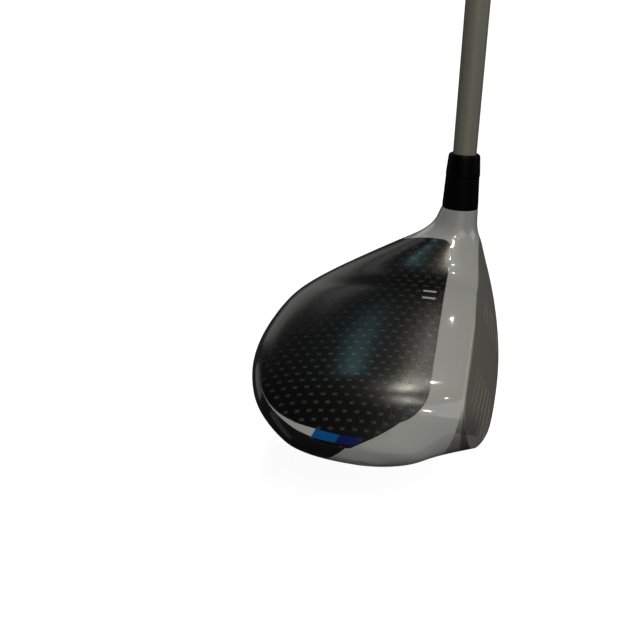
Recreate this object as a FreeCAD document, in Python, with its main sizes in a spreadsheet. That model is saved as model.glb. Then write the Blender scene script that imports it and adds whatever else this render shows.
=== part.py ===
import FreeCAD, Part
import math
import os
import re
import Sketcher

# Golf wood with an adjustable hosel, soled at address. Millimetres, +Z up.
# X runs from toe (-) to heel (+), Y from face (-) to back (+).
# The origin is the flat land in the middle of the sole, on the ground.
# "Height along the hosel" counts from the hosel's top, positive up the shaft.

SIZES = {
    # head: the spine of the outer skin runs from the toe, turns through the lie angle and ends at the hosel's top
    "ToeReach": 53, "SpineHeight": 18.85, "GroundHeel": 23.5, "NeckRadius": 42, "NeckStraight": 6.5,
    "LieAngle": 58, "AxisSetback": 8, "ToeSetback": 22, "HoselRadius": 6.8, "SideFullness": 1.9,
    "CrownFullness": 1.83,
    # face: loft plus the two large radii across and up the face
    "LoftAngle": 16, "FaceSetback": 25.2, "FaceMiddle": 18, "BulgeRadius": 280, "BulgeOffset": 5, "RollRadius": 300,
    "FaceThickness": 2.2, "CupReturn": 19, "ScoreDepth": 0.2, "ScoreWidth": 0.6,
    "ScorePitch": 3.6,
    # shell and its panels
    "WallThickness": 1.75, "PanelThickness": 0.9, "PanelGap": 0.1, "PanelBond": 0.05,
    "LedgeWidth": 6, "CrownFront": 7, "SkirtHeight": 23.5, "SolePanelTop": 12,
    # sole: slot, keel plate, screws
    "SlotSetback": 15, "SlotLength": 42, "SlotWidth": 3.4, "KeelThickness": 2.9, "KeelBed": 1.2,
    "KeelScrewRadius": 1.5, "KeelScrewHeadRadius": 2.8, "KeelScrewHeadHeight": 1.4, "KeelScrewLength": 6,
    "KeelBossTop": 8.8, "KeelHoleTop": 7.6,
    "KeelBossRadius": 3.8,
    # hosel bore, sleeve and its clamping screw
    "BoreRadius": 5.65, "BoreDepth": 34.5, "TubeRadius": 7.2, "TubeDepth": 46, "SleeveRadius": 5.6,
    "SleeveDepth": 33, "CollarHeight": 12, "CollarTopRadius": 6.35, "SplineRootRadius": 5.1,
    "SplineHeight": 6, "SplineWidth": 1.3, "SplineCount": 12, "RunningGap": 0.05, "WebThickness": 3,
    "PortRadius": 4.7, "CantAngle": 1.5, "CantDepth": 12, "ShaftBoreDepth": 26,
    "ScrewRadius": 2.45, "ScrewHoleRadius": 2.75, "ScrewHeadRadius": 4, "ScrewHeadHeight": 4,
    "ScrewReach": 12.7, "WasherRadius": 4.4, "WasherThickness": 1.2, "RingRadius": 4.55, "RingThickness": 1,
    "WrenchRadius": 1.9, "WrenchDepth": 2.6,
    # shaft, ferrule and grip
    "TipRadius": 4.45, "TipBore": 3.1, "ButtRadius": 7.62, "ButtWall": 1.1, "ClubLength": 1098,
    "FerruleHeight": 8.5, "SeamGap": 0.21, "FerruleTopRadius": 5.95, "PlugLength": 14, "GripLength": 267,
    "GripMouthRadius": 8.7, "GripButtRadius": 12.6, "CapRadius": 13.6, "CapThickness": 4.5, "VentRadius": 1.5,
    "TapeThickness": 0.3,
    # tail weight
    "WeightX": -7, "WeightY": 46, "WeightTilt": 24, "WeightRadius": 6.9, "WeightThickness": 5,
    "PortWall": 1.5, "WeightPortDepth": 5.6, "WeightScrewRadius": 2, "WeightScrewHeadRadius": 3.6,
    "WeightScrewHeadHeight": 2.4, "WeightScrewReach": 4.5,
}

# Outer skin, station by station from the toe to the neck: share of the straight spine (or, past 1, one plus
# the share of the turn), then the reach to the front, to the back, up to the crown and down to the sole.
# The front reach passes the face, which cuts it off.
STATIONS = [
    (0.00, 14.0, 14.0, 0.0, 0.0),
    (0.05, -4.5, 38.0, 6.0, 5.5),
    (0.15, -16.5, 47.0, 10.0, 8.0),
    (0.33, -41.0, 56.0, 15.5, 14.2),
    (0.45, -48.5, 59.0, 16.5, 18.2),
    (0.63, -52.0, 61.0, 17.5, 19.0),
    (0.87, -51.0, 59.0, 18.8, 19.0),
    (1.00, -47.0, 56.0, 19.2, 18.5),
    (1.35, -35.0, 45.5, 16.5, 16.0),
    (1.70, -21.8, 22.2, 12.5, 12.9),
]
SKIN_POINTS = 20
KEEL_SCREW_PLACES = (10, 20)

doc = FreeCAD.newDocument("golf_wood")
sheet = doc.addObject("Spreadsheet::Sheet", "Sizes")
for row, (alias, value) in enumerate(SIZES.items(), start=1):
    sheet.set("A%d" % row, alias)
    sheet.set("B%d" % row, str(value))
    sheet.setAlias("B%d" % row, alias)
doc.recompute()


def size(expression):
    """The value of a size, or of a sum of sizes, from the sheet."""
    return float(sheet.evalExpression(expression))


def bound(expression):
    """The same expression as another object has to write it."""
    return re.sub(r"\b([A-Z][A-Za-z]+)\b", r"Sizes.\1", expression)


def vector(x, y, z):
    return FreeCAD.Vector(x, y, z)


# ---------------------------------------------------------------- the hosel axis and the shaft axis

lie = math.radians(size("LieAngle"))
hosel_axis = vector(math.cos(lie), 0, math.sin(lie))
turn_x = size("GroundHeel") + size("SpineHeight") / math.tan(lie) - size("NeckRadius") * math.tan(lie / 2)
turn_z = size("SpineHeight") + size("NeckRadius")
straight = turn_x + size("ToeReach")
turning = size("NeckRadius") * lie
skin_length = straight + turning + size("NeckStraight")


def spine(distance):
    """Centre of a section of the skin, and the direction that is up in it."""
    angle = min(max((distance - straight) / size("NeckRadius"), 0), lie)
    if distance <= straight:
        centre = vector(distance - size("ToeReach"), 0, size("SpineHeight"))
    else:
        rest = max(0, distance - straight - turning)
        centre = vector(turn_x, 0, turn_z)
        centre += size("NeckRadius") * vector(math.sin(angle), 0, -math.cos(angle))
        centre += rest * hosel_axis
    return centre, vector(-math.sin(angle), 0, math.cos(angle)), angle / lie


hosel_top = spine(skin_length)[0] + vector(0, -size("AxisSetback"), 0)
cant = math.radians(size("CantAngle"))
shaft_axis = vector(math.cos(lie - cant), 0, math.sin(lie - cant))
cant_pivot = hosel_top - size("CantDepth") * hosel_axis


def along(axis_point, axis):
    """Placement that stands a piece's own Z on an axis, with its own Y staying the row's Y."""
    x_axis = vector(0, 1, 0).cross(axis)
    return FreeCAD.Placement(axis_point, FreeCAD.Rotation(x_axis, vector(0, 1, 0), axis, "ZXY"))


on_hosel = along(hosel_top, hosel_axis)
on_shaft = along(cant_pivot + size("CantDepth") * shaft_axis, shaft_axis)
weight_tilt = math.radians(size("WeightTilt"))
weight_out = vector(0, math.sin(weight_tilt), -math.cos(weight_tilt))


# ---------------------------------------------------------------- the head's skin and face

def monotone(places, values):
    """Smooth curve through given values that never overshoots them (Fritsch and Carlson's slopes)."""
    gaps = [b - a for a, b in zip(places, places[1:])]
    rises = [(b - a) / g for a, b, g in zip(values, values[1:], gaps)]
    slopes = [rises[0]]
    for k in range(1, len(rises)):
        before, after = rises[k - 1], rises[k]
        if before * after <= 0:
            slopes.append(0)
        else:
            first = 2 * gaps[k] + gaps[k - 1]
            second = gaps[k] + 2 * gaps[k - 1]
            slopes.append((first + second) / (first / before + second / after))
    slopes.append(rises[-1])

    def curve(place):
        k = 0
        while k < len(gaps) - 1 and place > places[k + 1]:
            k += 1
        part = (place - places[k]) / gaps[k]
        rest = 1 - part
        return ((1 + 2 * part) * rest ** 2 * values[k] + part * rest ** 2 * gaps[k] * slopes[k]
                + part ** 2 * (3 - 2 * part) * values[k + 1] - part ** 2 * rest * gaps[k] * slopes[k + 1])

    return curve


def station_curves():
    radius = size("HoselRadius")
    setback = -size("AxisSetback")
    rows = []
    for share, front, back, up, down in STATIONS:
        distance = straight * share if share <= 1 else straight + turning * (share - 1)
        rows.append((distance, front, back, up, down))
    rows.append((straight + turning, setback - radius - 0.3, setback + radius + 3, radius + 0.6, radius + 0.5))
    rows.append((skin_length, setback - radius, setback + radius, radius, radius))
    places = [math.sqrt(row[0]) for row in rows]
    return [monotone(places, [row[k] for row in rows]) for k in range(1, 5)]


reaches = station_curves()


def section(distance, depth):
    """Closed smooth curve round the head at one place on the spine, moved inwards by depth."""
    centre, upward, turned = spine(distance)
    front, back, up, down = [curve(math.sqrt(distance)) for curve in reaches]
    middle = size("ToeSetback") * (1 - distance / skin_length) ** 1.5 - size("AxisSetback")
    wide = size("SideFullness") + (2 - size("SideFullness")) * turned
    tall = size("CrownFullness") + (2 - size("CrownFullness")) * turned
    points = []
    for k in range(SKIN_POINTS):
        angle = 2 * math.pi * k / SKIN_POINTS
        side, rise = math.cos(angle), math.sin(angle)
        reach = (back - middle if side > 0 else middle - front) - depth
        height = (up if rise > 0 else down) - depth
        y = middle + math.copysign(reach * abs(side) ** (2 / wide), side)
        w = math.copysign(height * abs(rise) ** (2 / tall), rise)
        points.append(centre + w * upward + vector(0, y, 0))
    curve = Part.BSplineCurve()
    curve.interpolate(points, PeriodicFlag=True)
    return Part.Wire([curve.toShape()])


def skin(depth=0.0, end=None):
    """Solid inside the head's outer skin moved inwards by depth, before the face cuts its front off."""
    last = skin_length if end is None else end
    first = 0.012 * straight + 1.6 * depth
    half = 0.5 * straight
    knee = straight + 0.55 * turning
    rounds = [first + (half - first) * (k / 6) ** 2 for k in range(7)]
    middle = [half + (knee - half) * k / 5 for k in range(1, 6)]
    neck = [knee + (last - knee) * share for share in (0.3, 0.55, 0.75, 0.9, 1)]
    sections = [section(distance, depth) for distance in rounds + middle + neck]
    pole = vector(1.3 * depth - size("ToeReach"), size("ToeSetback") - size("AxisSetback"), size("SpineHeight"))
    return Part.makeLoft([Part.Vertex(pole)] + sections, True, False)


def face_at(x, z):
    """How far back the face is at a height and a distance from its middle. It runs out under the neck."""
    rise = z - size("FaceMiddle")
    up_the_neck = max(0, x * hosel_axis.x + z * hosel_axis.z - 42)
    return (rise * math.tan(math.radians(size("LoftAngle"))) - size("FaceSetback")
            + rise ** 2 / (2 * size("RollRadius")) + (x + size("BulgeOffset")) ** 2 / (2 * size("BulgeRadius")) - up_the_neck ** 2 / 107)


def front(depth=0.0):
    """Everything in front of the face, or in front of a surface that lies depth behind it."""
    grid = [[vector(x, face_at(x, z) + depth, z) for z in range(-12, 69, 8)] for x in range(-72, 89, 8)]
    surface = Part.BSplineSurface()
    surface.interpolate(grid)
    return surface.toShape().extrude(vector(0, -90, 0))


def box(low, high):
    return Part.makeBox(high[0] - low[0], high[1] - low[1], high[2] - low[2], vector(*low))


def ground_cut():
    return box((-90, -90, -5), (120, 120, 0))


# ---------------------------------------------------------------- making pieces

pieces = []


def keep(piece, placement=None):
    if placement is not None:
        piece.Placement = placement
    pieces.append(piece)
    return piece


def shaped(label, shape):
    """A piece whose shape is set directly, for the free-form head."""
    piece = doc.addObject("Part::Feature", label)
    piece.Label = label
    piece.Shape = shape.Solids[0] if len(shape.Solids) == 1 else shape
    return keep(piece)


def new_body(label):
    body = doc.addObject("PartDesign::Body", label)
    body.Label = label
    return body


def new_sketch(body, name, role="XZ_Plane"):
    sketch = body.newObject("Sketcher::SketchObject", name)
    plane = next(feature for feature in body.Origin.OriginFeatures if feature.Role == role)
    sketch.AttachmentSupport = [(plane, "")]
    sketch.MapMode = "FlatFace"
    return sketch


def outline(sketch, corners):
    """Closed polygon in a sketch, each corner's two coordinates bound to expressions on the sheet."""
    points = [vector(size(across), size(up), 0) for across, up in corners]
    first = sketch.GeometryCount
    for k in range(len(points)):
        sketch.addGeometry(Part.LineSegment(points[k], points[(k + 1) % len(points)]), False)
    for k in range(len(points)):
        sketch.addConstraint(Sketcher.Constraint("Coincident", first + k, 2, first + (k + 1) % len(points), 1))
    for k, corner in enumerate(corners):
        for kind, expression in zip(("DistanceX", "DistanceY"), corner):
            number = sketch.addConstraint(Sketcher.Constraint(kind, first + k, 1, size(expression)))
            sketch.setExpression("Constraints[%d]" % number, bound(expression))


def revolved(body, name, corners):
    """Solid of revolution about the body's own Z, from a profile of (radius, height) expressions."""
    sketch = new_sketch(body, name + "_profile")
    outline(sketch, corners)
    feature = body.newObject("PartDesign::Revolution", name)
    feature.Profile = sketch
    feature.ReferenceAxis = (sketch, ["V_Axis"])
    feature.Angle = 360
    doc.recompute()
    return feature


def circles(sketch, radius, spots):
    """Circles of one bound radius in a sketch, at fixed spots."""
    for x, y in spots:
        number = sketch.addGeometry(Part.Circle(vector(x, y, 0), vector(0, 0, 1), size(radius)), False)
        limit = sketch.addConstraint(Sketcher.Constraint("Radius", number, size(radius)))
        sketch.setExpression("Constraints[%d]" % limit, bound(radius))
        sketch.addConstraint(Sketcher.Constraint("DistanceX", number, 3, x))
        sketch.addConstraint(Sketcher.Constraint("DistanceY", number, 3, y))


def six_lobe_socket(body, at_height, depth, scale=1.0):
    """Wrench socket cut up into a screw head whose end face is at at_height, facing the body's -Z."""
    radius = size("WrenchRadius") * scale
    lobes = [(0.86 * radius * math.cos(math.radians(a)), 0.86 * radius * math.sin(math.radians(a)))
             for a in range(0, 360, 60)]
    for name, spots, share in (("core", [(0, 0)], 0.8), ("lobes", lobes, 0.3)):
        sketch = new_sketch(body, "socket_" + name, "XY_Plane")
        circles(sketch, "WrenchRadius * %g" % (share * scale), spots)
        sketch.AttachmentOffset = FreeCAD.Placement(vector(0, 0, size(at_height)), FreeCAD.Rotation())
        before = body.Shape.Volume
        pocket = body.newObject("PartDesign::Pocket", "socket_" + name + "_cut")
        pocket.Profile = sketch
        pocket.Reversed = True
        pocket.setExpression("Length", bound(depth))
        doc.recompute()
        if before - body.Shape.Volume < 0.01:
            raise RuntimeError("the socket cuts nothing in " + body.Label)


# ---------------------------------------------------------------- shaft assembly

def make_loft_sleeve():
    """Aluminium sleeve: collar above the hosel, splined end in it, canted bore for the shaft, tapped end."""
    body = new_body("loft_sleeve")
    revolved(body, "turned", [
        ("0", "-SleeveDepth"), ("SplineRootRadius - 0.3", "-SleeveDepth"),
        ("SplineRootRadius", "-SleeveDepth + 0.4"), ("SplineRootRadius", "-SleeveDepth + SplineHeight"),
        ("SleeveRadius", "-SleeveDepth + SplineHeight + 0.5"), ("SleeveRadius", "0.05"),
        ("HoselRadius - 0.15", "0.05"), ("HoselRadius", "0.2"), ("HoselRadius", "1.6"),
        ("CollarTopRadius", "CollarHeight - 0.05"), ("CollarTopRadius - 0.05", "CollarHeight"),
        ("0", "CollarHeight")])
    sketch = new_sketch(body, "spline_tooth", "XY_Plane")
    outline(sketch, [("SplineRootRadius - 0.4", "-SplineWidth / 2"),
                     ("SleeveRadius - 0.05", "-SplineWidth / 2 + 0.2"),
                     ("SleeveRadius - 0.05", "SplineWidth / 2 - 0.2"),
                     ("SplineRootRadius - 0.4", "SplineWidth / 2")])
    sketch.AttachmentOffset = FreeCAD.Placement(vector(0, 0, size("0.4 - SleeveDepth")), FreeCAD.Rotation())
    tooth = body.newObject("PartDesign::Pad", "tooth")
    tooth.Profile = sketch
    tooth.setExpression("Length", bound("SplineHeight"))
    doc.recompute()
    ring = body.newObject("PartDesign::PolarPattern", "teeth")
    ring.Originals = [tooth]
    ring.Axis = (sketch, ["N_Axis"])
    ring.Angle = 360
    ring.setExpression("Occurrences", bound("SplineCount"))
    body.Tip = ring
    doc.recompute()
    bore = new_sketch(body, "canted_bore")
    start = vector(0, -size("CantDepth"), 0)
    up = vector(math.sin(cant), math.cos(cant), 0)
    out = vector(math.cos(cant), -math.sin(cant), 0)
    bore.addGeometry(Part.LineSegment(start - 30 * up, start + 40 * up), True)
    radius = size("TipRadius + RunningGap")
    low = size("CantDepth - ShaftBoreDepth")
    corners = [start + low * up, start + low * up + radius * out, start + 40 * up + radius * out, start + 40 * up]
    for k in range(4):
        bore.addGeometry(Part.LineSegment(corners[k], corners[(k + 1) % 4]), False)
    before = body.Shape.Volume
    cut = body.newObject("PartDesign::Groove", "shaft_bore")
    cut.Profile = bore
    cut.ReferenceAxis = (bore, ["Axis0"])
    cut.Angle = 360
    doc.recompute()
    tapped = new_sketch(body, "tapped_hole", "XY_Plane")
    circles(tapped, "ScrewRadius + RunningGap", [(0, 0)])
    tapped.AttachmentOffset = FreeCAD.Placement(vector(0, 0, size("-SleeveDepth")), FreeCAD.Rotation())
    hole = body.newObject("PartDesign::Pocket", "tapped_end")
    hole.Profile = tapped
    hole.Reversed = True
    hole.setExpression("Length", bound("SleeveDepth - ShaftBoreDepth + 1"))
    doc.recompute()
    if before - body.Shape.Volume < 1500:
        raise RuntimeError("the sleeve's bores cut too little")
    return keep(body, on_hosel)


def make_shaft():
    body = new_body("shaft")
    butt = "ClubLength - 58"
    revolved(body, "tube", [
        ("TipBore", "0.2 - ShaftBoreDepth"), ("TipRadius - 0.3", "0.2 - ShaftBoreDepth"),
        ("TipRadius", "0.5 - ShaftBoreDepth"), ("TipRadius", "CollarHeight"),
        ("ButtRadius", butt), ("ButtRadius - ButtWall", butt), ("TipBore", "CollarHeight")])
    return keep(body, on_shaft)


def make_tip_plug():
    body = new_body("tip_plug")
    revolved(body, "plug", [
        ("0", "0.3 - ShaftBoreDepth"), ("TipBore - 0.3", "0.3 - ShaftBoreDepth"),
        ("TipBore - 0.02", "0.7 - ShaftBoreDepth"), ("TipBore - 0.02", "PlugLength - ShaftBoreDepth - 0.4"),
        ("TipBore - 0.5", "PlugLength - ShaftBoreDepth"), ("0", "PlugLength - ShaftBoreDepth")])
    return keep(body, on_shaft)


def make_ferrule():
    """Plastic ring on the shaft above the sleeve, a little proud of it, with a rounded rim."""
    body = new_body("ferrule")
    bore = "TipRadius + 0.12"
    top = "CollarHeight + FerruleHeight"
    revolved(body, "ring", [
        (bore, "CollarHeight + SeamGap"), ("CollarTopRadius + 0.05", "CollarHeight + SeamGap"),
        ("CollarTopRadius + 0.15", "CollarHeight + SeamGap + 0.1"), ("CollarTopRadius + 0.1", "CollarHeight + 1.6"),
        ("FerruleTopRadius + 0.08", top + " - 1.5"), ("FerruleTopRadius", top + " - 0.75"),
        ("FerruleTopRadius - 0.3", top + " - 0.2"), ("FerruleTopRadius - 0.75", top), (bore, top)])
    return keep(body, on_shaft)


def make_grip_parts():
    """Grip, the tape layer under it and its end cap, all about the shaft's axis."""
    butt = "ClubLength - 58"
    mouth = "ClubLength - 58 - GripLength"
    slope = "(ButtRadius - TipRadius) / (ClubLength - 58 - CollarHeight)"
    inner_mouth = "ButtRadius - GripLength * " + slope
    tape_mouth = "ButtRadius - (GripLength - 6) * " + slope
    tape = new_body("grip_tape")
    revolved(tape, "layer", [
        (tape_mouth + " + 0.02", mouth + " + 6"), (tape_mouth + " + TapeThickness", mouth + " + 6"),
        ("ButtRadius + TapeThickness", butt), ("ButtRadius + 0.02", butt)])
    keep(tape, on_shaft)
    grip = new_body("grip")
    revolved(grip, "rubber", [
        (inner_mouth + " + TapeThickness + 0.02", mouth),
        ("GripMouthRadius - 0.5", mouth), ("GripMouthRadius", mouth + " + 0.6"),
        ("GripMouthRadius + 0.1", mouth + " + 4"), ("GripMouthRadius + 0.55", mouth + " + GripLength * 0.3"),
        ("GripButtRadius - 1.3", mouth + " + GripLength * 0.7"),
        ("GripButtRadius", butt + " - 14"), ("CapRadius - 0.15", butt + " - 3"), ("CapRadius - 0.15", butt),
        ("ButtRadius + TapeThickness + 0.02", butt)])
    keep(grip, on_shaft)
    cap = new_body("grip_end_cap")
    revolved(cap, "cap", [
        ("VentRadius", butt + " + 0.02"), ("CapRadius", butt + " + 0.02"), ("CapRadius", butt + " + 1.4"),
        ("CapRadius - 0.7", butt + " + CapThickness - 1"), ("CapRadius - 2.2", butt + " + CapThickness"),
        ("VentRadius", butt + " + CapThickness")])
    keep(cap, on_shaft)


# ---------------------------------------------------------------- hosel screw, washer and its ring

def make_hosel_fastening():
    """Screw that comes up from the sole into the sleeve's tapped end, with its seat washer and captive ring."""
    seat = "-BoreDepth - WebThickness"
    washer = new_body("hosel_washer")
    revolved(washer, "disc", [
        ("ScrewRadius + 0.15", seat + " - WasherThickness"), ("WasherRadius", seat + " - WasherThickness"),
        ("WasherRadius", seat + " - 0.3"), ("WasherRadius - 0.3", seat + " - 0.02"),
        ("ScrewRadius + 0.15", seat + " - 0.02")])
    keep(washer, on_hosel)
    under = seat + " - WasherThickness - RingThickness"
    ring = new_body("screw_retainer")
    revolved(ring, "ring", [
        ("ScrewRadius + 0.03", under), ("RingRadius - 0.3", under), ("RingRadius", under + " + 0.3"),
        ("RingRadius", under + " + RingThickness - 0.35"), ("RingRadius - 0.3", under + " + RingThickness - 0.05"),
        ("ScrewRadius + 0.03", under + " + RingThickness - 0.05")])
    keep(ring, on_hosel)
    screw = new_body("hosel_screw")
    head = under + " - 0.03"
    revolved(screw, "turned", [
        ("0", head + " - ScrewHeadHeight"), ("ScrewHeadRadius - 0.4", head + " - ScrewHeadHeight"),
        ("ScrewHeadRadius", head + " - ScrewHeadHeight + 0.4"), ("ScrewHeadRadius", head),
        ("ScrewRadius", head), ("ScrewRadius", head + " + ScrewReach - 0.5"),
        ("ScrewRadius - 0.5", head + " + ScrewReach"), ("0", head + " + ScrewReach")])
    six_lobe_socket(screw, head + " - ScrewHeadHeight", "WrenchDepth")
    keep(screw, on_hosel)


# ---------------------------------------------------------------- plan outlines of the panels

def plan_prism(wire, grow, low, high):
    """Upright prism over a closed plan outline that is first grown, or shrunk where grow is negative."""
    grown = wire if grow == 0 else wire.makeOffset2D(grow)
    face = Part.Face(grown)
    face.translate(vector(0, 0, low))
    return face.extrude(vector(0, 0, high - low))


def rounded_polygon(corners, radius):
    """Closed plan outline through corners, each rounded by an arc."""
    solid = Part.Face(Part.makePolygon([vector(x, y, 0) for x, y in corners + corners[:1]]))
    solid = solid.extrude(vector(0, 0, 1))
    upright = [e for e in solid.Edges if abs(e.Vertexes[0].Z - e.Vertexes[-1].Z) > 0.5]
    solid = solid.makeFillet(radius, upright)
    bottom = next(f for f in solid.Faces if abs(f.CenterOfMass.z) < 1e-6)
    return bottom.OuterWire


def crown_outline():
    """Straight front edge, rounded heel and toe corners, long bow over the toe; the back lies beyond the head."""
    edge = -size("CrownFront")
    corner = 5.0
    heel = vector(37.6, edge + corner, 0)
    heel_back = vector(45, 34, 0)
    toe_front = vector(-27.5, edge, 0)
    toe_side = vector(-41.3, 1.7, 0)
    toe_low = vector(-53, 26, 0)
    far = [heel_back, vector(60, 75, 0), vector(-70, 75, 0), toe_low]
    edges = [
        Part.LineSegment(toe_front, vector(heel.x - corner, edge, 0)),
        Part.Arc(vector(heel.x - corner, edge, 0), heel + vector(-0.29 * corner, -0.71 * corner, 0), heel),
        Part.LineSegment(heel, far[0]),
        Part.LineSegment(far[0], far[1]),
        Part.LineSegment(far[1], far[2]),
        Part.LineSegment(far[2], far[3]),
        Part.Arc(toe_low, vector(-48.9, 13.6, 0), toe_side),
        Part.Arc(toe_side, vector(-36.3, -4.7, 0), toe_front),
    ]
    return Part.Wire([e.toShape() for e in edges])


crown_plan = crown_outline()
toe_plan = rounded_polygon([(-42, -6), (-16, -8), (-13, 36), (-17, 49), (-32, 39), (-44, 18)], 5)
heel_plan = rounded_polygon([(15, 3), (32, 5), (33, 22), (24, 40), (10, 48), (8.5, 36)], 4)
keel_plan = rounded_polygon([(-13, -10), (11, -10), (6, 25), (-10, 25)], 3.5)


# ---------------------------------------------------------------- head pieces

def hosel_cylinder(radius, low, high):
    """Round bar on the hosel axis between two heights along it."""
    return Part.makeCylinder(radius, high - low, hosel_top + low * hosel_axis, hosel_axis)


def weight_cylinder(radius, low, high):
    """Round bar on the tail weight's axis; heights count outwards from the seat's mouth."""
    return Part.makeCylinder(radius, high - low, weight_mouth + low * weight_out, weight_out)


def hosel_splines():
    """Grooves' ridges in the bottom of the hosel bore, cut to mesh with the sleeve's teeth."""
    gap = size("RunningGap")
    depth = size("SleeveDepth")
    low = -size("BoreDepth")
    high = size("SplineHeight") - depth
    ring = hosel_cylinder(size("BoreRadius + 0.5"), low, high)
    ring = ring.cut(hosel_cylinder(size("SplineRootRadius") + gap, low - 1, high + 1))
    half = size("SplineWidth / 2") + gap
    root = size("SplineRootRadius") - 0.4
    tip = size("BoreRadius")
    profile = [vector(root, -half, 0), vector(tip, 0.2 - half, 0), vector(tip, half - 0.2, 0), vector(root, half, 0)]
    groove = Part.Face(Part.makePolygon(profile + profile[:1])).extrude(vector(0, 0, high - low + 2))
    groove.translate(vector(0, 0, low - 1))
    count = int(size("SplineCount"))
    for k in range(count):
        tooth = groove.copy()
        tooth.rotate(vector(0, 0, 0), vector(0, 0, 1), 360 * k / count)
        tooth.Placement = on_hosel.multiply(tooth.Placement)
        ring = ring.cut(tooth)
    return ring


outer = skin().cut(front()).cut(ground_cut())
weight_foot = vector(size("WeightX"), size("WeightY"), 0)


def mouth_of_weight():
    """Where the tail weight's axis leaves the sole."""
    line = Part.makeLine(weight_foot - 40 * weight_out + vector(0, 0, 8), weight_foot + 20 * weight_out)
    inside = line.common(outer)
    return max((v.Point for v in inside.Vertexes), key=lambda p: p.dot(weight_out))


weight_mouth = mouth_of_weight()


def cup_slab():
    """Everything in front of the face's inner surface."""
    return front(size("FaceThickness") / math.cos(math.radians(size("LoftAngle"))))


def cup_region():
    """That slab, and the return that runs back along the sole and round the toe."""
    return cup_slab().fuse(box((-90, -90, -5), (70, -size("CupReturn"), 21)))


def make_head():
    panel = size("PanelThickness")
    gap = size("PanelGap")
    inset = -size("LedgeWidth")
    skirt = size("SkirtHeight")
    low_top = size("SolePanelTop")
    bed = size("KeelThickness")
    web = -size("BoreDepth") - size("WebThickness")
    port = size("WeightRadius + RunningGap")
    port_floor = -size("WeightPortDepth")
    wall = size("WallThickness")
    under_panel = skin(size("PanelThickness + PanelBond"))
    cavity = skin(wall, straight + 0.8 * turning).cut([cup_slab(), box((-90, -90, -5), (120, 120, wall))])

    # what the cast shell carries inside: keel bed, slot lip, hosel tube, weight port, screw bosses
    slot_half = size("SlotWidth") / 2
    slot_back = -size("SlotSetback")
    inside = [
        plan_prism(keel_plan, 1.6, 0.5, bed + size("KeelBed")),
        box((-25.2, slot_back - slot_half - 1.2, 0.5), (19.2, slot_back + slot_half + 1.2, 4.4)),
        hosel_cylinder(size("TubeRadius"), -size("TubeDepth") - 12, -10),
        weight_cylinder(port + size("PortWall"), port_floor - 6, 8),
    ]
    for y in KEEL_SCREW_PLACES:
        inside.append(Part.makeCylinder(size("KeelBossRadius"), size("KeelBossTop") - 1, vector(keel_x(y), y, 1)))
    inside = [item.common(outer) for item in inside]
    shell = outer.cut(cavity)
    body = shell.multiFuse(inside)

    # recesses for the panels and the keel, the openings under the panels, and every bore
    cuts = [plan_prism(crown_plan, inset, skirt + 3.5, 60)]
    cuts += [plan_prism(plan, -4, -5, low_top) for plan in (toe_plan, heel_plan)]
    cuts.append(plan_prism(keel_plan, gap, -5, bed + size("PanelBond")))
    for y in KEEL_SCREW_PLACES:
        depth = size("KeelHoleTop") + 1
        cuts.append(Part.makeCylinder(size("KeelScrewRadius") + 0.03, depth, vector(keel_x(y), y, -1)))
    cuts += [
        slot_block(0),
        weight_cylinder(port, port_floor, 12),
        weight_cylinder(size("WeightScrewRadius") + 0.03, port_floor - 4.8, port_floor + 1),
        hosel_cylinder(size("BoreRadius"), -size("BoreDepth"), 6),
        hosel_cylinder(size("ScrewHoleRadius"), web - 1, 0),
        hosel_cylinder(size("PortRadius"), web - 24, web),
        cup_region(),
    ]
    for cut in cuts:
        body = body.cut(cut)
    recesses = [plan_prism(crown_plan, gap, skirt - gap, 60).cut(under_panel)]
    recesses += [plan_prism(plan, gap, -5, low_top).cut(under_panel) for plan in (toe_plan, heel_plan)]
    for recess in recesses:
        body = body.cut(recess)
    shaped("head_body", body.fuse(hosel_splines().common(outer)))

    bore = hosel_cylinder(size("BoreRadius"), -size("BoreDepth"), 6)
    shaped("face_cup", cup_region().common(outer).cut(cavity).cut(score_lines()).cut(bore))
    shaped("crown_panel", plan_prism(crown_plan, -gap, skirt + gap, 60).common(outer).cut(skin(panel)))
    for label, plan in (("sole_panel_toe", toe_plan), ("sole_panel_heel", heel_plan)):
        shaped(label, plan_prism(plan, -gap, -5, low_top).common(outer).cut(skin(panel)))
    keel = plan_prism(keel_plan, -gap, -5, bed).common(outer)
    for y in KEEL_SCREW_PLACES:
        foot = vector(keel_x(y), y, -1)
        head = size("KeelScrewHeadHeight") + sole_height(y)
        keel = keel.cut(Part.makeCylinder(size("KeelScrewRadius") + 0.15, 9, foot))
        keel = keel.cut(Part.makeCylinder(size("KeelScrewHeadRadius") + 0.12, head + 1, foot))
    shaped("sole_keel", keel)
    shaped("slot_filler", slot_block(0.02).common(outer))


def keel_x(y):
    """Middle of the keel plate, which leans a little towards the toe as it runs back."""
    return -1 - 2.0 * (y + 10) / 45


def sole_height(y):
    """Height of the sole at the keel's middle."""
    line = Part.makeLine(vector(keel_x(y), y, -3), vector(keel_x(y), y, 15))
    return min(v.Z for v in line.common(outer).Vertexes)


def slot_block(shrink):
    """The sole slot behind the face, or the filler that is shrink smaller all round."""
    half = size("SlotWidth") / 2 - shrink
    back = -size("SlotSetback")
    return box((-24 + shrink, back - half, -5), (size("SlotLength") - 24 - shrink, back + half, 6.5))


def score_lines():
    """Shallow grooves across the face, left out in its middle."""
    tool = front(size("ScoreDepth"))
    strips = []
    for k in range(-3, 3):
        middle = size("FaceMiddle") + (k + 0.5) * size("ScorePitch")
        reach = 33 - 1.7 * abs(k + 1)
        for left, right in ((-reach, -11), (11, 0.72 * reach)):
            low = middle - size("ScoreWidth") / 2
            strips.append(box((left, -60, low), (right, 20, low + size("ScoreWidth"))))
    return tool.common(strips[0].multiFuse(strips[1:]))


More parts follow.
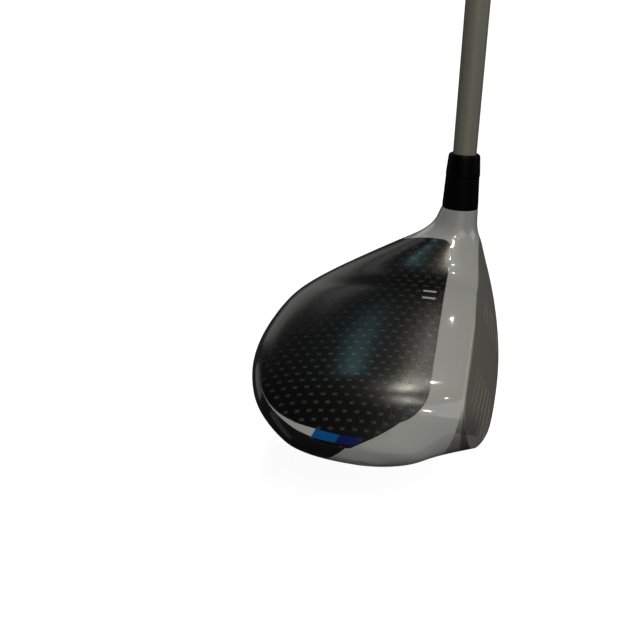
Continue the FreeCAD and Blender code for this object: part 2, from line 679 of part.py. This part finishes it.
def make_keel_screws():
    """Two identical flat-headed screws that hold the keel plate, in one node."""
    screws = []
    for y in KEEL_SCREW_PLACES:
        base = vector(keel_x(y), y, sole_height(y) + 0.1)
        head = Part.makeCylinder(size("KeelScrewHeadRadius"), size("KeelScrewHeadHeight") - 0.1, base)
        shank = Part.makeCylinder(size("KeelScrewRadius"), size("KeelScrewLength"), base)
        core = Part.makeCylinder(1.05, 0.9, base)
        screw = head.fuse(shank)
        for k in range(6):
            angle = math.radians(60 * k)
            spot = base + vector(0.95 * math.cos(angle), 0.95 * math.sin(angle), 0)
            core = core.fuse(Part.makeCylinder(0.33, 0.9, spot))
        screws.append(screw.cut(core))
    shaped("keel_screws", Part.makeCompound(screws))


def make_tail_weight():
    """Round weight in the tail port, held by a screw through its middle."""
    placement = FreeCAD.Placement(weight_mouth, FreeCAD.Rotation(vector(0, 0, -1), weight_out))
    seat = "WeightPortDepth"
    weight = new_body("rear_weight")
    top = seat + " - 0.03"
    low = seat + " - WeightThickness"
    revolved(weight, "disc", [
        ("WeightScrewRadius + 0.08", low + " + WeightScrewHeadHeight"),
        ("WeightScrewHeadRadius + 0.08", low + " + WeightScrewHeadHeight"),
        ("WeightScrewHeadRadius + 0.08", low), ("WeightRadius - 0.5", low), ("WeightRadius", low + " + 0.5"),
        ("WeightRadius", top), ("WeightScrewRadius + 0.08", top)])
    keep(weight, placement)
    screw = new_body("rear_weight_screw")
    revolved(screw, "turned", [
        ("0", low + " + 0.1"), ("WeightScrewHeadRadius - 0.3", low + " + 0.1"),
        ("WeightScrewHeadRadius", low + " + 0.4"), ("WeightScrewHeadRadius", low + " + WeightScrewHeadHeight - 0.05"),
        ("WeightScrewRadius", low + " + WeightScrewHeadHeight - 0.05"),
        ("WeightScrewRadius", seat + " + WeightScrewReach - 0.4"),
        ("WeightScrewRadius - 0.4", seat + " + WeightScrewReach"), ("0", seat + " + WeightScrewReach")])
    six_lobe_socket(screw, low + " + 0.1", "1.6", 0.9)
    keep(screw, placement)


# ---------------------------------------------------------------- build, check and write

make_loft_sleeve()
make_shaft()
make_tip_plug()
make_ferrule()
make_grip_parts()
make_hosel_fastening()
make_tail_weight()
make_head()
make_keel_screws()
doc.recompute()

for item in doc.Objects:
    if "Invalid" in item.State or "Error" in item.State:
        raise RuntimeError("%s did not recompute: %s" % (item.Label, item.State))
for piece in pieces:
    if piece.Shape.isNull() or not piece.Shape.isValid() or not piece.Shape.Solids:
        raise RuntimeError(piece.Label + " has no valid shape")

os.makedirs("parts", exist_ok=True)
for piece in pieces:
    piece.Shape.exportStep("parts/%s.step" % piece.Label)
    bounds = piece.Shape.BoundBox
    print("%-18s solids %d  volume %9.1f  x %.1f..%.1f  y %.1f..%.1f  z %.1f..%.1f" % (
        piece.Label, len(piece.Shape.Solids), piece.Shape.Volume, bounds.XMin, bounds.XMax, bounds.YMin,
        bounds.YMax, bounds.ZMin, bounds.ZMax))
print("hosel top", hosel_top, "weight mouth", weight_mouth)
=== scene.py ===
import math

import bpy
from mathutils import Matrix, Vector

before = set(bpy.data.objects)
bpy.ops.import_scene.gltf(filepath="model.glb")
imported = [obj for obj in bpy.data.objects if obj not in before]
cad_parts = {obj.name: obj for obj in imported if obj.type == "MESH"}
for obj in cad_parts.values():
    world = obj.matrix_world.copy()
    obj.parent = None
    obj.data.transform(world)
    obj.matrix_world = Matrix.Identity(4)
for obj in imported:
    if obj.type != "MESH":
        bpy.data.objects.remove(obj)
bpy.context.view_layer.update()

MM = 0.001
# metres; the released head slides 45 mm along the hosel, which is 38 mm down, and the floor stays clear of it
FLOOR_DROP = 0.04

# the face's surface, in millimetres and degrees, as the head is built
LOFT, FACE_MIDDLE, FACE_SETBACK = 16.0, 18.0, 25.2
ROLL_RADIUS, BULGE_RADIUS, BULGE_OFFSET = 300.0, 280.0, 5.0
LEAN_X, LEAN_Z = 0.5299, 0.848  # direction of the hosel
NECK_START, NECK_RUNOUT = 42.0, 107.0

# paint borders, in millimetres; the slanted ones shift along y with height
BARE_EDGE, BARE_SLOPE, BARE_OFFSET, BARE_BLEND = -18.8, -0.515, -4.75, 4.5
BARE_HEEL_END, BARE_DEPTH = 14.0, 0.28
SOLE_EDGE_TOP, SOLE_EDGE_BACK = 5.5, -13.3
TOE_BLACK_SLOPE, TOE_BLACK = 1.214, 48.2
HEEL_BLACK_SLOPE, HEEL_BLACK = 0.9, 43.0
SIDE_SPLIT, BAND_BACK, SOLE_BLACK_TOP = 22.0, -5.4, 4.4
GROOVE_DEPTH, GROOVE_BACK = 0.07, -19.5
# crease between the toe wall and the leading edge: a slanted plane, where the height above it is
# z + x times CREASE_X + y times CREASE_Y + CREASE_OFFSET
CREASE_X, CREASE_Y, CREASE_OFFSET = 1.401, -0.072, 29.77

# crown: weave, printed stripe and alignment mark, in millimetres; the tows' half sizes and the riser's place and
# half width are shares of a pitch
TOW_PITCH, TOW_ROW, TOW_HALF_LENGTH, TOW_HALF_WIDTH = 4.3, 2.75, 0.19, 0.16
RISER_PLACE, RISER_HALF_WIDTH, RISER_BACK = 0.73, 0.045, 9.0
STRIPE_LOW, STRIPE_WIDTH, STRIPE_END = 23.68, 1.65, -20.0
STRIPE_RISE, STRIPE_RISE_FROM = 0.045, 38.0
TAPER_FROM, TAPER_BLEND, TAPER_LOSS = 42.0, 27.0, 1.6
STRIPE_SLOPE, PALE_FROM, LIGHT_FROM, DARK_FROM = 0.8, 51.5, 43.0, 35.5
MARK_X, MARK_Y, MARK_HALF_PITCH, MARK_HALF_WIDTH, MARK_HALF_LENGTH = 11.0, -1.6, 1.6, 0.4, 2.4

SHAFT_LEAN = 56.5  # degrees

# camera: millimetres and degrees, above the toe and looking down at the head
CAMERA_LENS, CAMERA_PLACE, CAMERA_TURN = 79.553, (-327.775, -42.785, 429.118), (40.14, 2.92, -79.69)
LAMP_AIM = (0.0, 0.01, 0.03)  # metres


# ---------------------------------------------------------------- small helpers for node materials

class Nodes:
    """One material's node tree, with short calls for the nodes used here."""

    def __init__(self, name):
        self.material = bpy.data.materials.new(name)
        self.material.use_nodes = True
        self.tree = self.material.node_tree
        self.tree.nodes.clear()
        self.out = self.tree.nodes.new("ShaderNodeOutputMaterial")

    def add(self, kind, settings=None, **inputs):
        node = self.tree.nodes.new("ShaderNode" + kind)
        for key, value in (settings or {}).items():
            setattr(node, key, value)
        for key, value in inputs.items():
            self.put(node, key.replace("_", " "), value)
        return node

    def put(self, node, key, value):
        socket = node.inputs[int(key)] if key.isdigit() else node.inputs[key]
        if isinstance(value, bpy.types.NodeSocket):
            self.tree.links.new(value, socket)
        else:
            socket.default_value = value

    def math(self, operation, a, b=0.0, c=0.0):
        node = self.add("Math", {"operation": operation})
        for k, value in enumerate((a, b, c)):
            self.put(node, str(k), value)
        return node.outputs[0]

    def step(self, value, edge, soft):
        """0 below edge, 1 above it, with a soft change soft wide."""
        node = self.add("MapRange", {"interpolation_type": "SMOOTHSTEP"}, Value=value)
        node.inputs["From Min"].default_value = edge - soft / 2
        node.inputs["From Max"].default_value = edge + soft / 2
        return node.outputs[0]

    def below(self, value, edge, soft):
        """1 below edge, 0 above it."""
        return self.math("SUBTRACT", 1.0, self.step(value, edge, soft))

    def place(self):
        """Position in millimetres on the row's axes, as three sockets and a vector."""
        where = self.add("TexCoord").outputs["Object"]
        scaled = self.add("VectorMath", {"operation": "SCALE"})
        self.put(scaled, "0", where)
        scaled.inputs["Scale"].default_value = 1 / MM
        split = self.add("SeparateXYZ", Vector=scaled.outputs[0])
        return split.outputs[0], split.outputs[1], split.outputs[2], scaled.outputs[0]

    def stretched(self, vector, scale, turn=(0, 0, 0)):
        node = self.add("Mapping", Vector=vector)
        node.inputs["Scale"].default_value = scale
        node.inputs["Rotation"].default_value = turn
        return node.outputs[0]

    def noise(self, vector, scale, detail=3.0, rough=0.5):
        node = self.add("TexNoise", Vector=vector, Scale=scale, Detail=detail, Roughness=rough)
        return node.outputs["Fac"]

    def mix(self, share, a, b):
        node = self.add("Mix", {"data_type": "RGBA"})
        for key, value in ((0, share), (6, a), (7, b)):
            self.put(node, str(key), value)
        return node.outputs[2]

    def level(self, share, a, b):
        """Number that goes from a to b with share."""
        node = self.add("Mix", {"data_type": "FLOAT"})
        for key, value in ((0, share), (2, a), (3, b)):
            self.put(node, str(key), value)
        return node.outputs[0]

    def bump(self, height, strength, distance, under=None):
        node = self.add("Bump", Height=height, Strength=strength, Distance=distance)
        if under is not None:
            self.put(node, "Normal", under)
        return node.outputs[0]

    def surface(self, **inputs):
        shader = self.add("BsdfPrincipled", None, **inputs)
        self.tree.links.new(shader.outputs[0], self.out.inputs["Surface"])
        return self.material


# ---------------------------------------------------------------- materials

BLACK = (0.0055, 0.0055, 0.0058, 1)
PALE_WHITE, DEEP_WHITE = (0.385, 0.387, 0.37, 1), (0.335, 0.337, 0.322, 1)
LIGHT_METAL, DARK_METAL = (0.43, 0.40, 0.35, 1), (0.19, 0.175, 0.152, 1)
# painted shade: colours for the face's shaded low toe corner and its shaded score-line grooves
SHADED_CORNER_METAL, SHADED_GROOVE_METAL = (0.035, 0.032, 0.028, 1), (0.05, 0.047, 0.04, 1)
CARBON, DULL_TOW, BRIGHT_TOW = (0.0035, 0.0036, 0.0038, 1), (0.042, 0.041, 0.036, 1), (0.066, 0.065, 0.06, 1)
STRIPE_PALE, STRIPE_LIGHT, STRIPE_DARK = (0.44, 0.44, 0.42, 1), (0.001, 0.085, 0.28, 1), (0.003, 0.01, 0.1, 1)
MARK_PAINT = (0.38, 0.38, 0.36, 1)


def behind_face(n, x, y, z):
    """How far a point lies behind the face's curved surface, in millimetres."""
    rise = n.math("SUBTRACT", z, FACE_MIDDLE)
    flat = n.math("MULTIPLY_ADD", rise, math.tan(math.radians(LOFT)), -FACE_SETBACK)
    roll = n.math("MULTIPLY", n.math("MULTIPLY", rise, rise), 0.5 / ROLL_RADIUS)
    side = n.math("ADD", x, BULGE_OFFSET)
    bulge = n.math("MULTIPLY", n.math("MULTIPLY", side, side), 0.5 / BULGE_RADIUS)
    height = n.math("ADD", n.math("MULTIPLY", x, LEAN_X), n.math("MULTIPLY", z, LEAN_Z))
    neck = n.math("MAXIMUM", n.math("SUBTRACT", height, NECK_START), 0.0)
    runout = n.math("MULTIPLY", n.math("MULTIPLY", neck, neck), -1 / NECK_RUNOUT)
    face = n.math("ADD", n.math("ADD", flat, roll), n.math("ADD", bulge, runout))
    return n.math("SUBTRACT", y, face)


def bare_share(n, x, y, z, where):
    """1 on bare metal and 0 on paint: the face, the front of the toe wall and the leading edge are bare."""
    chips = n.math("MULTIPLY", n.math("SUBTRACT", n.noise(where, 1.7, 4.0, 0.7), 0.5), 0.7)
    # the border runs straight along the topline and moves back on its way down the toe wall
    border = n.math("SMOOTH_MAX", n.math("MULTIPLY_ADD", z, BARE_SLOPE, BARE_OFFSET), BARE_EDGE, BARE_BLEND)
    toe = n.below(n.math("ADD", n.math("SUBTRACT", y, border), chips), 0.0, 0.12)
    toe = n.math("MULTIPLY", toe, n.below(x, BARE_HEEL_END, 0.3))
    depth = n.math("ADD", behind_face(n, x, y, z), n.math("MULTIPLY", chips, 0.15))
    face = n.below(depth, BARE_DEPTH, 0.1)
    sole = n.math("MULTIPLY", n.below(z, SOLE_EDGE_TOP, 0.2), n.below(y, SOLE_EDGE_BACK, 0.1))
    return n.math("MAXIMUM", n.math("MAXIMUM", toe, face), sole)


def bare_metal(n, x, y, z, where, line_scale):
    """Brushed metal: its colour, its fine lines and the share of their light tone; painted shade darkens the low
    toe corner and the score-line grooves.
    """
    lines = n.noise(n.stretched(where, (line_scale, 6.0, 6.0)), 1.0, 4.0, 0.65)
    streaks = n.noise(n.stretched(where, (0.03, 0.7, 0.7)), 1.0, 3.0, 0.6)
    share = n.math("ADD", n.math("MULTIPLY", lines, 0.6), n.math("MULTIPLY", streaks, 0.4))
    metal = n.mix(share, DARK_METAL, LIGHT_METAL)
    # painted shade: the face darkens towards its low toe corner, down to the crease above the sole's leading
    # edge
    above = n.math("ADD", n.math("MULTIPLY_ADD", x, CREASE_X, z),
                   n.math("MULTIPLY_ADD", y, CREASE_Y, CREASE_OFFSET))
    corner_shade = n.math("MULTIPLY", n.step(above, 0.0, 0.4), n.below(above, 10.0, 20.0))
    corner_shade = n.math("MULTIPLY", corner_shade, n.step(z, 14.0, 5.0))
    metal = n.mix(n.math("MULTIPLY", corner_shade, 0.5), metal, SHADED_CORNER_METAL)
    # painted shade: the score-line grooves get a darker colour, for the shade that falls in them
    deep = n.step(behind_face(n, x, y, z), GROOVE_DEPTH, 0.04)
    groove_shade = n.math("MULTIPLY", n.below(y, GROOVE_BACK, 0.3), deep)
    return n.mix(n.math("MULTIPLY", groove_shade, 0.7), metal, SHADED_GROOVE_METAL), lines, share


def head_skin(name, line_scale):
    """Paint with its bare, brushed metal parts, for the cast body and for the face cup."""
    n = Nodes(name)
    x, y, z, where = n.place()
    # white runs over the front band and the neck, and down the toe and heel walls in front of a slanted line
    toe_black = n.step(n.math("MULTIPLY_ADD", z, TOE_BLACK_SLOPE, y), TOE_BLACK, 0.2)
    heel_black = n.step(n.math("MULTIPLY_ADD", z, HEEL_BLACK_SLOPE, y), HEEL_BLACK, 0.25)
    black_side = n.level(n.step(x, SIDE_SPLIT, 0.2), toe_black, heel_black)
    low = n.below(n.math("MULTIPLY_ADD", y, 0.06, z), SOLE_BLACK_TOP, 0.2)
    black = n.math("MAXIMUM", n.math("MULTIPLY", black_side, n.step(y, BAND_BACK, 0.2)), low)
    white = n.mix(n.noise(where, 0.035, 2.0), DEEP_WHITE, PALE_WHITE)
    bare = bare_share(n, x, y, z, where)
    metal, lines, share = bare_metal(n, x, y, z, where, line_scale)
    colour = n.mix(bare, n.mix(black, white, BLACK), metal)
    painted = n.math("SUBTRACT", 1.0, bare)
    peel = n.bump(n.noise(where, 0.55, 1.0), 0.05, 0.0002)
    relief = n.bump(n.math("MULTIPLY", lines, bare), 0.15, 0.0001, peel)
    rough = n.level(bare, n.level(black, 0.34, 0.3), n.level(share, 0.48, 0.36))
    coat = n.math("MULTIPLY", painted, n.level(black, 1.0, 0.8))
    return n.surface(Base_Color=colour, Metallic=n.math("MULTIPLY", bare, 0.55), Roughness=rough, Normal=relief,
                     Coat_Weight=coat, Coat_Roughness=0.05, Specular_IOR_Level=0.22)


def weave(n, x, y):
    """Rows of short tows that step over by half from row to row, joined by thin risers near the front edge."""
    across = n.math("ADD", n.math("DIVIDE", x, TOW_ROW), 50.0)
    shift = n.math("MULTIPLY", n.math("MODULO", n.math("FLOOR", across), 2.0), 0.5)
    along = n.math("FRACT", n.math("ADD", n.math("ADD", n.math("DIVIDE", y, TOW_PITCH), shift), 50.0))
    u = n.math("ABSOLUTE", n.math("SUBTRACT", along, 0.5))
    v = n.math("ABSOLUTE", n.math("SUBTRACT", n.math("FRACT", across), 0.5))
    dash = n.math("MULTIPLY", n.below(u, TOW_HALF_LENGTH, 0.12), n.below(v, TOW_HALF_WIDTH, 0.16))
    riser = n.below(n.math("ABSOLUTE", n.math("SUBTRACT", along, RISER_PLACE)), RISER_HALF_WIDTH, 0.06)
    front = n.below(y, RISER_BACK, 12.0)
    return n.math("MAXIMUM", dash, n.math("MULTIPLY", n.math("MULTIPLY", riser, front), 0.7))


def printed_stripe(n, x, y, z, colour):
    """Stripe along the skirt on the toe side: a pale taper, a light blue and a dark blue bar."""
    slant = n.math("MULTIPLY_ADD", z, STRIPE_SLOPE, y)
    forward = n.math("MAXIMUM", n.math("SUBTRACT", STRIPE_RISE_FROM, y), 0.0)
    rise = n.math("MULTIPLY", forward, STRIPE_RISE)
    over = n.math("SUBTRACT", n.math("SUBTRACT", z, STRIPE_LOW), rise)
    taper = n.math("MULTIPLY", n.step(y, TAPER_FROM, TAPER_BLEND), TAPER_LOSS)
    width = n.math("SUBTRACT", STRIPE_WIDTH, taper)
    band = n.math("MULTIPLY", n.below(n.math("SUBTRACT", over, width), 0.0, 0.1), n.step(over, 0.0, 0.08))
    band = n.math("MULTIPLY", band, n.below(x, STRIPE_END, 0.1))
    pale = n.step(slant, PALE_FROM, 0.15)
    inner = n.step(slant, LIGHT_FROM, 0.15)
    light_bar = n.math("MULTIPLY", n.math("SUBTRACT", 1.0, pale), inner)
    dark_bar = n.math("MULTIPLY", n.math("SUBTRACT", 1.0, inner), n.step(slant, DARK_FROM, 5.0))
    for share, paint in ((pale, STRIPE_PALE), (light_bar, STRIPE_LIGHT), (dark_bar, STRIPE_DARK)):
        colour = n.mix(n.math("MULTIPLY", band, share), colour, paint)
    return colour


def crown_carbon():
    n = Nodes("crown_carbon")
    x, y, z, where = n.place()
    dash = weave(n, x, y)
    # painted light: the weave under the clear coat is lit on the middle, toe half and front, and black towards
    # the heel
    weave_light = n.step(n.math("SUBTRACT", n.math("MULTIPLY", y, -0.5), n.math("MULTIPLY", x, 0.75)), -10.0, 44.0)
    weave_light = n.math("MAXIMUM", weave_light, n.math("MULTIPLY", n.below(y, 14.0, 24.0), 0.75))
    patch = n.noise(where, 0.9, 1.0)
    lit_weave = n.math("MULTIPLY", n.math("MULTIPLY", dash, weave_light), n.level(patch, 0.3, 1.5))
    tow = n.mix(n.noise(where, 0.11, 2.0), DULL_TOW, BRIGHT_TOW)
    colour = n.mix(n.math("MULTIPLY", lit_weave, 0.8), CARBON, tow)
    colour = printed_stripe(n, x, y, z, colour)
    # alignment mark: two short parallel bars behind the front edge
    bar_x = n.math("ABSOLUTE", n.math("SUBTRACT", x, MARK_X))
    off_bar = n.math("ABSOLUTE", n.math("SUBTRACT", bar_x, MARK_HALF_PITCH))
    length = n.below(n.math("ABSOLUTE", n.math("SUBTRACT", y, MARK_Y)), MARK_HALF_LENGTH, 0.1)
    mark = n.math("MULTIPLY", n.math("MULTIPLY", n.below(off_bar, MARK_HALF_WIDTH, 0.1), length),
                  n.step(z, 30.0, 0.1))
    colour = n.mix(mark, colour, MARK_PAINT)
    relief = n.bump(dash, 0.05, 0.0001)
    fine = n.bump(n.noise(where, 2.2, 3.0), 0.06, 0.0001, relief)
    return n.surface(Base_Color=colour, Roughness=n.level(lit_weave, 0.34, 0.3), Normal=fine, Coat_Weight=0.75,
                     Coat_Roughness=0.22, Specular_IOR_Level=0.05)


def plain(name, dark, light, rough, metallic=0.0, scale=0.4, coat=0.0, height=0.05, stretch=(1, 1, 1),
          gloss=0.5):
    """One substance all over: colour and roughness drift with a fine grain that also stands up in relief."""
    n = Nodes(name)
    where = n.place()[3]
    grain = n.noise(n.stretched(where, stretch), scale, 4.0, 0.6)
    colour = n.mix(grain, dark, light)
    relief = n.bump(grain, height, 0.0001)
    return n.surface(Base_Color=colour, Roughness=n.level(grain, rough[0], rough[1]), Metallic=metallic,
                     Normal=relief, Coat_Weight=coat, Coat_Roughness=0.08, Specular_IOR_Level=gloss)


def shaft_paint():
    """Satin paint with fine lines along the tube; the axes of the texture follow the lie of the shaft."""
    n = Nodes("shaft_paint")
    where = n.place()[3]
    turned = n.stretched(where, (1, 1, 1), (0, math.radians(SHAFT_LEAN), 0))
    lines = n.noise(n.stretched(turned, (0.02, 1.6, 1.6)), 1.0, 3.0, 0.6)
    drift = n.noise(where, 0.02, 2.0)
    share = n.math("ADD", n.math("MULTIPLY", lines, 0.5), n.math("MULTIPLY", drift, 0.5))
    colour = n.mix(share, (0.165, 0.158, 0.122, 1), (0.225, 0.216, 0.172, 1))
    relief = n.bump(lines, 0.04, 0.00005)
    return n.surface(Base_Color=colour, Roughness=n.level(lines, 0.42, 0.5), Normal=relief, Coat_Weight=0.35,
                     Coat_Roughness=0.3)


def rubber():
    """Black rubber with a moulded pattern of cells and fine pebbling."""
    n = Nodes("grip_rubber")
    where = n.place()[3]
    grain = n.noise(where, 3.0, 3.0)
    colour = n.mix(grain, (0.012, 0.012, 0.012, 1), (0.03, 0.03, 0.029, 1))
    cells = n.add("TexVoronoi", {"feature": "DISTANCE_TO_EDGE"}, Vector=where, Scale=0.45)
    relief = n.bump(n.step(cells.outputs[0], 0.12, 0.2), 0.35, 0.0004)
    fine = n.bump(grain, 0.2, 0.0001, relief)
    return n.surface(Base_Color=colour, Roughness=n.level(grain, 0.6, 0.8), Normal=fine)


steel = plain("turned_steel", (0.28, 0.27, 0.25, 1), (0.42, 0.40, 0.37, 1), (0.22, 0.36), 1.0, scale=1.0)
dark_plastic = plain("dark_plastic", (0.01, 0.01, 0.01, 1), (0.022, 0.022, 0.022, 1), (0.45, 0.6), scale=1.5)
sole_black = plain("sole_composite", (0.006, 0.006, 0.007, 1), (0.016, 0.016, 0.017, 1), (0.3, 0.42),
                   scale=0.9, coat=0.4)
MATERIALS = {
    "head_body": head_skin("head_paint", 0.05),
    "face_cup": head_skin("face_metal", 0.045),
    "crown_panel": crown_carbon(),
    "loft_sleeve": plain("sleeve_black", (0.001, 0.001, 0.0012, 1), (0.002, 0.002, 0.0022, 1), (0.4, 0.5),
                         scale=1.2, height=0.03, gloss=0.05),
    "ferrule": plain("ferrule_black", (0.001, 0.001, 0.001, 1), (0.002, 0.002, 0.002, 1), (0.34, 0.42),
                     scale=0.8, coat=0.01, height=0.03, gloss=0.05),
    "shaft": shaft_paint(),
    "grip": rubber(),
    "grip_end_cap": plain("cap_rubber", (0.012, 0.012, 0.012, 1), (0.03, 0.03, 0.029, 1), (0.55, 0.7),
                          scale=2.0),
    "grip_tape": plain("paper_tape", (0.35, 0.31, 0.22, 1), (0.45, 0.4, 0.3, 1), (0.7, 0.9), scale=0.6),
    "sole_keel": plain("keel_metal", (0.20, 0.195, 0.185, 1), (0.34, 0.33, 0.315, 1), (0.28, 0.42), 0.95,
                       scale=1.0, height=0.1, stretch=(0.05, 3, 3)),
    "sole_panel_toe": sole_black, "sole_panel_heel": sole_black,
    "slot_filler": dark_plastic, "screw_retainer": dark_plastic, "tip_plug": dark_plastic,
    "keel_screws": steel, "rear_weight": steel, "rear_weight_screw": steel,
    "hosel_screw": steel, "hosel_washer": steel,
}
for name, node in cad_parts.items():
    for slot in node.material_slots:
        slot.material = MATERIALS[name]
    if not node.material_slots:
        node.data.materials.append(MATERIALS[name])


# ---------------------------------------------------------------- floor, light and camera

def floor():
    mesh = bpy.data.meshes.new("floor")
    reach = 30.0
    mesh.from_pydata([(-reach, -reach, 0), (reach, -reach, 0), (reach, reach, 0), (-reach, reach, 0)], [],
                     [(0, 1, 2, 3)])
    piece = bpy.data.objects.new("floor", mesh)
    bpy.context.collection.objects.link(piece)
    n = Nodes("floor_pale")
    drift = n.noise(n.place()[3], 0.004, 2.0)
    colour = n.mix(drift, (0.42, 0.42, 0.42, 1), (0.45, 0.45, 0.45, 1))
    mesh.materials.append(n.surface(Base_Color=colour, Roughness=0.85, Emission_Color=(1, 1, 1, 1),
                                    Emission_Strength=0.9))
    piece.location.z = -FLOOR_DROP
    piece.visible_diffuse = False
    piece.visible_glossy = False


def lamp(name, direction, distance, width, watts, colour=(1, 1, 1), height=None):
    """Rectangular lamp that looks at the head from a direction; square unless a height is given."""
    light = bpy.data.lights.new(name, "AREA")
    light.shape = "RECTANGLE"
    light.size = width
    light.size_y = width if height is None else height
    light.energy = watts
    light.color = colour
    piece = bpy.data.objects.new(name, light)
    bpy.context.collection.objects.link(piece)
    way = Vector(direction).normalized()
    piece.location = Vector(LAMP_AIM) + way * distance
    piece.rotation_euler = way.to_track_quat("Z", "Y").to_euler()


floor()
lamp("ceiling_lamp_a", (0.34, -0.12, 0.93), 2.0, 0.018, 2.0)
lamp("ceiling_lamp_b", (-0.40, -0.22, 0.88), 2.0, 0.014, 1.0)
lamp("ceiling_lamp_c", (0.50, -0.11, 0.86), 2.0, 0.008, 0.25)
lamp("ceiling_lamp_d", (0.01, -0.25, 0.97), 2.0, 0.012, 0.5)
lamp("warm_strip_a", (0.38, -0.01, 0.92), 2.0, 0.05, 1.6, (1.0, 0.94, 0.80), 0.22)
lamp("warm_strip_b", (0.21, -0.01, 0.97), 2.0, 0.05, 6.2, (1.0, 0.95, 0.80), 0.22)
lamp("warm_strip_c", (-0.12, -0.06, 0.99), 2.0, 0.04, 5, (1.0, 0.97, 0.86), 0.4)
lamp("window_soft", (0.47, 0.31, 0.82), 1.6, 0.07, 0.3, (0.45, 0.9, 1.0))
lamp("wall_high", (0.74, 0.45, 0.50), 1.6, 0.35, 0.35)
lamp("wall_glow", (0.75, 0.62, 0.08), 1.6, 0.8, 2.0, (1.0, 0.99, 0.95))
lamp("back_low", (0.30, 0.93, -0.17), 1.6, 0.6, 0.55)
lamp("back_soft", (-0.37, 0.92, 0.10), 1.6, 0.6, 0.3)
lamp("key_soft", (-0.75, -0.25, 0.62), 2.2, 1.6, 4.2)
lamp("top_soft", (-0.30, -0.50, 0.82), 2.2, 1.4, 9)
lamp("fill_front", (0.3, -0.94, 0.15), 2.0, 1.0, 5)

world = bpy.data.worlds.new("room")
world.use_nodes = True
backdrop = world.node_tree.nodes["Background"]
backdrop.inputs["Color"].default_value = (0.9, 0.95, 1.0, 1)
backdrop.inputs["Strength"].default_value = 0.035
bpy.context.scene.world = world
bpy.context.scene.view_settings.view_transform = "Standard"

camera = bpy.data.cameras.new("camera")
camera.lens = CAMERA_LENS
camera.sensor_width = 36.0
camera.clip_start = 0.02
camera.clip_end = 100.0
viewer = bpy.data.objects.new("camera", camera)
bpy.context.collection.objects.link(viewer)
viewer.location = Vector(CAMERA_PLACE) * MM
viewer.rotation_euler = [math.radians(angle) for angle in CAMERA_TURN]
bpy.context.scene.camera = viewer
